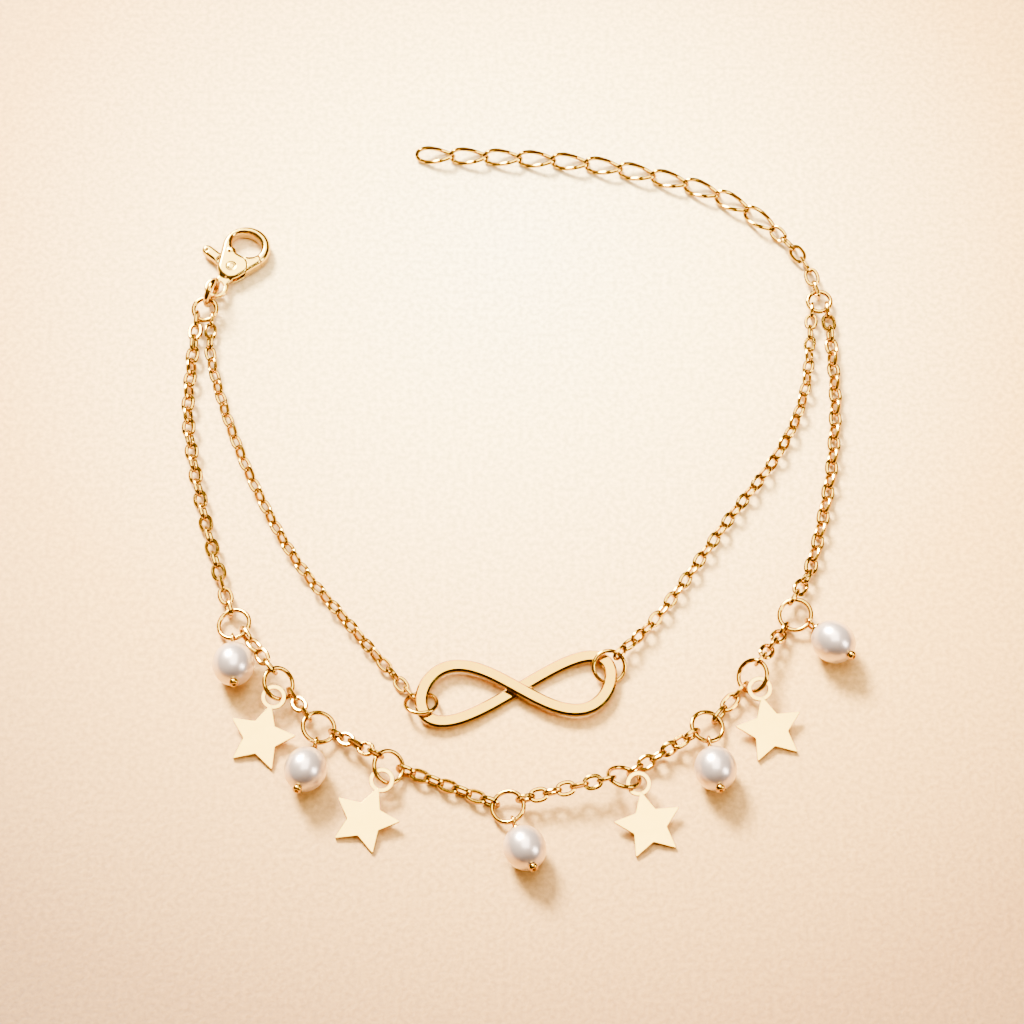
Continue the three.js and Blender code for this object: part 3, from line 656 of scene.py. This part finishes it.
def plateShape(outline, thickness, edge):
    plate = bmesh.new()
    paintedRimReflection = [plate.verts.new((x, y, -thickness / 2)) for x, y in outline]
    face = plate.faces.new(paintedRimReflection)
    raised = bmesh.ops.extrude_face_region(plate, geom=[face])["geom"]
    lifted = [v for v in raised if isinstance(v, bmesh.types.BMVert)]
    bmesh.ops.translate(plate, verts=lifted, vec=(0, 0, thickness))
    rims = [e for e in plate.edges if abs(e.verts[0].co.z - e.verts[1].co.z) < 1e-6]
    bmesh.ops.bevel(plate, geom=rims, offset=edge, segments=3, profile=0.5, affect="EDGES")
    bmesh.ops.recalc_face_normals(plate, faces=plate.faces)
    points = np.array([v.co for v in plate.verts])
    faces = [tuple(v.index for v in f.verts) for f in plate.faces]
    plate.free()
    return points, faces


starPlate = plateShape(starOutline(), star["thickness"], star["edge"])


def makeStar(number, place, row):
    origin = place["centre"] + place["toward"] * (charmRing["radius"] - clearance)
    farTip = starLoop["reach"] + star["tip"] * math.cos(math.pi / 5)
    half = star["thickness"] / 2
    lean = math.asin((origin[2] - clothGap) / math.hypot(farTip, half)) - math.atan2(half, farTip)
    basis = leaningBasis(math.radians(row["toward"] + row["swing"]), -lean)
    plate = (starPlate[0] + np.array([starLoop["reach"], 0, 0])) @ basis + origin
    middle = (starLoop["hole"] + starLoop["outer"]) / 2
    halfWidth = (starLoop["outer"] - starLoop["hole"]) / 2
    halfThick = starLoop["thickness"] / 2
    angles = np.arange(48) / 48 * 2 * math.pi
    radial = np.cos(angles)[:, None] * basis[0] + np.sin(angles)[:, None] * basis[1]
    edge = starLoop["edge"]
    section = [
        (halfWidth, -halfThick + edge), (halfWidth, halfThick - edge), (halfWidth - edge, halfThick),
        (-halfWidth + edge, halfThick), (-halfWidth, halfThick - edge), (-halfWidth, -halfThick + edge),
        (-halfWidth + edge, -halfThick), (halfWidth - edge, -halfThick),
    ]
    loop = sweep(origin + radial * middle, radial, np.repeat(basis[2][None], 48, 0), section)
    madeOf(f"star_{number}_plate", [(plate, starPlate[1]), loop], golds["star_gold_painted_light"], "star_plate",
           [f"star_{number}"], crease=10)


for i, (place, row) in enumerate(zip(charmFrames, charmRows)):
    maker = makePearl if row["kind"] == "pearl" else makeStar
    maker(i + 1, place, row)
print("drops made")


# Infinity link.
def makeInfinity():
    angles = np.arange(220) / 220 * 2 * math.pi
    curve = infinityPoint(angles)
    ahead = infinityPoint(angles + 0.001) - infinityPoint(angles - 0.001)
    ahead[:, 2] = 0
    ahead = unit(ahead)
    outward = np.stack([ahead[:, 1], -ahead[:, 0], np.zeros(len(angles))], 1)
    half, thick = infinity["band"] / 2, infinity["thickness"] / 2
    edge, soft = infinity["edge"], infinity["edgeSoft"]
    quarter = [
        (half, thick - edge - soft), (half, thick - edge),
        (half - edge, thick), (half - edge - soft, thick),
    ]
    section = quarter + [(-x, y) for x, y in reversed(quarter)]
    section += [(-x, -y) for x, y in quarter] + [(x, -y) for x, y in reversed(quarter)]
    lift = np.repeat(up[None], len(angles), 0)
    madeOf("infinity_band", [sweep(curve, outward, lift, section)], golds["infinity_gold"], "infinity_metal",
           ["infinity_link"], crease=30)


makeInfinity()


# Clasp, in its own frame: tail hole at zero, head towards +X. Its forms are distance fields on a grid,
# negative inside, which are blended, hollowed and then skinned.
clasp = {
    "thickness": 2.2, "headRadius": 3.75, "heelRadius": 2.2, "soft": 0.7, "gridStep": 0.085,
    "eyeLong": 2.45, "eyeShort": 1.9, "eyeShift": (0.4, 0.2), "eyeEnd": 6.18,
    "slot": 1.1, "grooveRadius": 0.62, "grooveWire": 0.15, "rivetSunk": 0.1,
}
boss = {"x": 2.2, "y": 1.75, "sunk": 0.45, "radius": 0.72, "flatness": 1.1, "blend": 0.12}
claspTail = {"hole": 1.15, "outer": 1.85, "bottom": 1.05, "thickness": 0.7, "soft": 0.3, "blend": 0.35}
gate = {"near": 2.4, "far": 4.62, "top": -6, "travel": 27, "play": 0.05}
lever = {"thickness": 0.8, "hub": 1.05, "pin": 0.45, "soft": 0.3, "inset": 0.2}
knob = {"x": 0.25, "y": 4.95, "radius": 0.86, "height": 1.5, "clear": 2.5, "soft": 0.5, "dimple": 0.28}
head = (8.3, 0.9, clasp["headRadius"])
heel = (4.2, 0.5, clasp["heelRadius"])
tailPath = [(0, -1.0), (2.9, -1.0), (2.9, 1.2), (0, 1.0)]
slotPath = [(2.7, -3), (7.4, -3), (7.4, 1.4), (6.1, 1.9), (6.1, 6), (1.4, 6), (2.7, 1)]
webPath = [(0.2, -1.0), (3.6, -2.1), (3.6, -1.2), (0.6, 0.9)]  # from the rivet


def outlineDistance(x, y, outline):
    corners = np.array(outline, float)
    nearest = np.full(x.shape, 1e9)
    inside = np.zeros(x.shape, bool)
    for a, b in zip(corners, np.roll(corners, -1, 0)):
        edge = b - a
        t = np.clip(((x - a[0]) * edge[0] + (y - a[1]) * edge[1]) / (edge @ edge), 0, 1)
        nearest = np.minimum(nearest, np.hypot(x - a[0] - t * edge[0], y - a[1] - t * edge[1]))
        if edge[1]:
            inside ^= ((a[1] > y) != (b[1] > y)) & (x - a[0] < edge[0] * (y - a[1]) / edge[1])
    return np.where(inside, -nearest, nearest)


def roundedSlab(flat, z, bottom, top, soft):
    upright = np.abs(z - (bottom + top) / 2) - (top - bottom) / 2 + soft
    across = flat + soft
    outside = np.hypot(np.maximum(across, 0), np.maximum(upright, 0))
    return np.minimum(np.maximum(across, upright), 0) + outside - soft


def blended(a, b, reach):
    share = np.clip(0.5 + (b - a) / (2 * reach), 0, 1)
    return b * (1 - share) + a * share - reach * share * (1 - share)


def arc(x, y, radiusX, radiusY, start, end, count=40):
    angles = np.linspace(start, end, count)
    return [(x + radiusX * math.cos(a), y + radiusY * math.sin(a)) for a in angles]


def hull(a, b):
    axis = math.atan2(b[1] - a[1], b[0] - a[0])
    opening = math.acos((a[2] - b[2]) / math.hypot(b[0] - a[0], b[1] - a[1]))
    return (arc(a[0], a[1], a[2], a[2], axis + opening, axis - opening + 2 * math.pi)
            + arc(b[0], b[1], b[2], b[2], axis - opening, axis + opening))


# One point in every grid cell that the surface passes, one face round every grid edge that it cuts.
def skin(field, low, step):
    cells = tuple(n - 1 for n in field.shape)
    total, count, cuts = np.zeros((*cells, 3)), np.zeros(cells), []
    for axis in range(3):
        u, v = (axis + 1) % 3, (axis + 2) % 3
        near = np.moveaxis(field, (axis, u, v), (0, 1, 2))
        a, b = near[:-1], near[1:]
        cut = (a < 0) != (b < 0)
        along = np.where(cut, a / np.where(cut, a - b, 1), 0)
        cuts.append((u, v, cut, a < 0))
        for du in (0, 1):
            for dv in (0, 1):
                here = cut[:, du:du + cells[u], dv:dv + cells[v]]
                offset = np.zeros((*here.shape, 3))
                offset[..., axis] = along[:, du:du + cells[u], dv:dv + cells[v]]
                offset[..., u], offset[..., v] = du, dv
                offset *= here[..., None]
                total += np.moveaxis(offset, (0, 1, 2), (axis, u, v))
                count += np.moveaxis(here, (0, 1, 2), (axis, u, v))
    used = count > 0
    number = np.full(cells, -1)
    number[used] = np.arange(used.sum())
    points = low + (np.argwhere(used) + total[used] / count[used][:, None]) * step
    faces = []
    for axis, (u, v, cut, outward) in enumerate(cuts):
        ids = np.moveaxis(number, (axis, u, v), (0, 1, 2))
        inner = cut[:, 1:-1, 1:-1]
        quads = np.stack([ids[:, :-1, :-1], ids[:, 1:, :-1], ids[:, 1:, 1:], ids[:, :-1, 1:]], -1)[inner]
        flip = ~outward[:, 1:-1, 1:-1][inner]
        quads[flip] = quads[flip][:, ::-1]
        faces += quads.tolist()
    return points, faces


def claspGrid(low, high):
    axes = [np.arange(a, b, clasp["gridStep"]) for a, b in zip(low, high)]
    return np.array(low), np.meshgrid(*axes, indexing="ij")


def claspMesh(name, field, low):
    points, faces = skin(field, low, clasp["gridStep"])
    turn = math.radians(claspPlace["bearing"])
    placed = points @ np.array([
        [math.cos(turn), math.sin(turn), 0], [-math.sin(turn), math.cos(turn), 0], [0, 0, 1],
    ]) + np.array([claspPlace["x"], claspPlace["y"], 0]) + shift
    mesh = bpy.data.meshes.new(name)
    mesh.from_pydata((placed * mm).tolist(), [], faces)
    work = bpy.data.objects.new(name, mesh)
    bpy.context.scene.collection.objects.link(work)
    soften = work.modifiers.new("soften", "SMOOTH")
    soften.factor = 0.5
    soften.iterations = 4
    bpy.context.view_layer.update()
    smooth = bpy.data.meshes.new_from_object(work.evaluated_get(bpy.context.evaluated_depsgraph_get()))
    bpy.data.objects.remove(work)
    return smooth


def fromRivet(x, y):
    return np.hypot(x - heel[0], y - heel[1])


def claspEye(x, y):
    centreX, centreY = head[0] + clasp["eyeShift"][0], head[1] + clasp["eyeShift"][1]
    eye = arc(centreX, centreY, clasp["eyeShort"], clasp["eyeLong"], 0, clasp["eyeEnd"])
    return outlineDistance(x, y, eye)


# The gate swings round the rivet in heel, between two arcs round it.
def gateZone(x, y, inset, top):
    reach = fromRivet(x, y)
    limit = math.radians(top)
    above = (y - heel[1]) * math.cos(limit) - (x - heel[0]) * math.sin(limit)
    zone = np.maximum(gate["near"] + inset - reach, reach - gate["far"] + inset)
    return np.maximum(zone, above + inset)


# Body and gate are parts of one smooth shell.
def claspShell(x, y, z):
    plan = np.maximum(outlineDistance(x, y, hull(head, heel)), -claspEye(x, y))
    return roundedSlab(plan, z, 0, clasp["thickness"], clasp["soft"])


def claspBodyField(x, y, z):
    thick = clasp["thickness"]
    form = np.maximum(claspShell(x, y, z), -gateZone(x, y, 0, gate["top"] + gate["travel"]))
    bossHeight = (z - thick + boss["sunk"]) * boss["flatness"]
    fromBoss = np.sqrt((x - heel[0] - boss["x"]) ** 2 + (y - heel[1] - boss["y"]) ** 2 + bossHeight ** 2)
    form = blended(form, fromBoss - boss["radius"], boss["blend"])
    bottom, top = claspTail["bottom"], claspTail["bottom"] + claspTail["thickness"]
    fromHole = np.hypot(x, y)
    tailPlan = np.minimum(outlineDistance(x, y, tailPath), fromHole - claspTail["outer"])
    form = blended(form, roundedSlab(tailPlan, z, bottom, top, claspTail["soft"]), claspTail["blend"])
    form = np.maximum(form, claspTail["hole"] - fromHole)
    slot = np.maximum(outlineDistance(x, y, slotPath), np.abs(z - thick / 2) - clasp["slot"] / 2)
    form = np.maximum(form, -slot)
    reach = fromRivet(x, y)
    pin = np.maximum(reach - lever["pin"], np.abs(z - thick / 2) - thick / 2 + clasp["rivetSunk"])
    groove = np.hypot(reach - clasp["grooveRadius"], z - thick) - clasp["grooveWire"]
    return np.maximum(np.minimum(form, pin), -groove)


def claspLeverField(x, y, z):
    middle = clasp["thickness"] / 2
    low, high = middle - lever["thickness"] / 2, middle + lever["thickness"] / 2
    reach = fromRivet(x, y)
    arm = np.maximum(claspShell(x, y, z), gateZone(x, y, gate["play"], gate["top"]))
    webPlan = np.minimum(outlineDistance(x - heel[0], y - heel[1], webPath), reach - lever["hub"])
    webPlan = np.maximum(webPlan, outlineDistance(x, y, hull(head, heel)) + lever["inset"])
    web = roundedSlab(np.maximum(webPlan, -claspEye(x, y)), z, low, high, lever["soft"])
    along = np.clip((y - heel[1]) / knob["y"], 0, 1)
    knobPlan = np.hypot(x - heel[0] - along * knob["x"], y - heel[1] - along * knob["y"]) - knob["radius"]
    shank = roundedSlab(knobPlan, z, low, high, lever["soft"])
    half = knob["height"] / 2
    gripPlan = np.maximum(knobPlan, knob["clear"] - reach)
    grip = roundedSlab(gripPlan, z, middle - half, middle + half, knob["soft"])
    fromDimple = np.sqrt((x - heel[0]) ** 2 + (y - heel[1] - knob["y"]) ** 2 + (z - middle - half) ** 2)
    form = np.minimum(np.minimum(arm, web), np.minimum(shank, grip))
    form = np.maximum(form, knob["dimple"] - fromDimple)
    return np.maximum(form, lever["pin"] + clearance - reach)


def makeClasp():
    low, (x, y, z) = claspGrid((-2.1, -3.3, -0.2), (12.4, 5.0, 2.7))
    mesh = claspMesh("clasp_body_form", claspBodyField(x, y, z), low)
    makePiece("clasp_body_polished", mesh, golds["clasp_gold_painted_light"], "clasp_metal", ["clasp_body"], crease=180)
    low, (x, y, z) = claspGrid((2.4, -3.3, -0.2), (9.2, 6.4, 2.5))
    mesh = claspMesh("clasp_lever_form", claspLeverField(x, y, z), low)
    makePiece("clasp_lever_polished", mesh, golds["clasp_gold_painted_light"], "clasp_metal", ["clasp_lever"],
              body="clasp_lever", crease=180)


makeClasp()
print("clasp made")


# Floor: fine grained cream leather, palest behind the anklet, where a pool of light is painted into its
# colour.
def makeFloor():
    mesh = bpy.data.meshes.new("floor")
    reach = 1.5
    corners = [(-reach, -reach, 0), (reach, -reach, 0), (reach, reach, 0), (-reach, reach, 0)]
    mesh.from_pydata(corners, [], [(0, 1, 2, 3)])
    floor = bpy.data.objects.new("floor", mesh)
    bpy.context.scene.collection.objects.link(floor)
    material = bpy.data.materials.new("floor_leather")
    tree, shader = nodeSetup(material)
    link = tree.links.new
    place = tree.nodes.new("ShaderNodeTexCoord")
    grain = tree.nodes.new("ShaderNodeTexVoronoi")
    grain.inputs["Scale"].default_value = 1500
    fine = tree.nodes.new("ShaderNodeTexNoise")
    fine.inputs["Scale"].default_value = 1300
    fine.inputs["Detail"].default_value = 6
    height = addNode(tree, "ShaderNodeMath", operation="MULTIPLY_ADD")
    height.inputs[1].default_value = 0.5
    bump = tree.nodes.new("ShaderNodeBump")
    bump.inputs["Distance"].default_value = 0.0001
    bump.inputs["Strength"].default_value = 0.5
    # Painted light: the floor colour runs from pale cream round one point behind the anklet to dark brown at
    # the edges, a painted pool of light with painted shade beyond it. The speckle is the leather's own grain.
    move = tree.nodes.new("ShaderNodeMapping")
    move.inputs["Location"].default_value = (0.0, -0.27, 0)
    move.inputs["Scale"].default_value = (6.0, 6.0, 1)
    fromPaintedPoolCentre = addNode(tree, "ShaderNodeVectorMath", operation="LENGTH")
    paintedLightPool = ramp(tree, [(0.0, (1.0, 0.83, 0.48)), (0.2, (0.98, 0.73, 0.31)), (0.5, (0.69, 0.38, 0.072)),
                       (0.8, (0.33, 0.155, 0.024)), (1.0, (0.19, 0.085, 0.013))])
    link(place.outputs["Object"], grain.inputs["Vector"])
    link(place.outputs["Object"], fine.inputs["Vector"])
    link(grain.outputs["Distance"], height.inputs[0])
    link(fine.outputs["Fac"], height.inputs[2])
    link(height.outputs[0], bump.inputs["Height"])
    link(bump.outputs["Normal"], shader.inputs["Normal"])
    link(place.outputs["Object"], move.inputs["Vector"])
    link(move.outputs["Vector"], fromPaintedPoolCentre.inputs[0])
    link(fromPaintedPoolCentre.outputs["Value"], paintedLightPool.inputs["Fac"])
    speckle = ramp(tree, [(0.35, (0.72, 0.69, 0.60)), (0.65, (1, 1, 1))])
    tinted = addNode(tree, "ShaderNodeMix", data_type="RGBA", blend_type="MULTIPLY")
    tinted.inputs["Factor"].default_value = 1
    link(fine.outputs["Fac"], speckle.inputs["Fac"])
    link(paintedLightPool.outputs["Color"], tinted.inputs[6])
    link(speckle.outputs["Color"], tinted.inputs[7])
    link(tinted.outputs[2], shader.inputs["Base Color"])
    shader.inputs["Roughness"].default_value = 0.62
    mesh.materials.append(material)


makeFloor()


# Light.
def areaLight(name, place, aim, size, energy, colour):
    data = bpy.data.lights.new(name, "AREA")
    data.shape = "RECTANGLE"
    data.size, data.size_y = size
    data.energy = energy
    data.color = colour
    light = bpy.data.objects.new(name, data)
    light.location = place
    light.rotation_euler = (Vector(aim) - Vector(place)).to_track_quat("-Z", "Y").to_euler()
    bpy.context.scene.collection.objects.link(light)


areaLight("top", place=(0.0, 0.17, 0.80), aim=(0, 0, 0), size=(0.55, 0.80), energy=19,
          colour=(1.0, 0.93, 0.82))
areaLight("side", place=(0.50, -0.18, 0.34), aim=(0, 0, 0), size=(0.18, 0.28), energy=4.4,
          colour=(1.0, 0.92, 0.84))


# The key is a pool of light, brightest behind the anklet, with soft shadows to the front right.
def makeKey(place, aim, poolRadius, energy, colour):
    data = bpy.data.lights.new("key", "SPOT")
    reach = (Vector(aim) - Vector(place)).length
    data.spot_size = 2 * math.atan(poolRadius / reach)
    data.spot_blend = 1
    data.shadow_soft_size = 0.19
    data.energy = energy
    data.color = colour
    light = bpy.data.objects.new("key", data)
    light.location = place
    light.rotation_euler = (Vector(aim) - Vector(place)).to_track_quat("-Z", "Y").to_euler()
    bpy.context.scene.collection.objects.link(light)


makeKey(place=(-0.26, 0.50, 0.44), aim=(0.0, 0.045, 0), poolRadius=0.158, energy=760,
        colour=(1.0, 0.93, 0.80))


def makeSky():
    world = bpy.data.worlds.new("sky")
    bpy.context.scene.world = world
    world.use_nodes = True
    tree = world.node_tree
    background = next(n for n in tree.nodes if n.type == "BACKGROUND")
    place = tree.nodes.new("ShaderNodeTexCoord")
    parts = tree.nodes.new("ShaderNodeSeparateXYZ")
    sky = ramp(tree, [(0.0, (0.02, 0.008, 0.003)), (0.6, (0.06, 0.028, 0.011)), (1.0, (0.40, 0.24, 0.12))])
    tree.links.new(place.outputs["Generated"], parts.inputs[0])
    tree.links.new(parts.outputs["Z"], sky.inputs["Fac"])
    tree.links.new(sky.outputs["Color"], background.inputs["Color"])
    background.inputs["Strength"].default_value = 1.5


makeSky()
print("floor and light made")

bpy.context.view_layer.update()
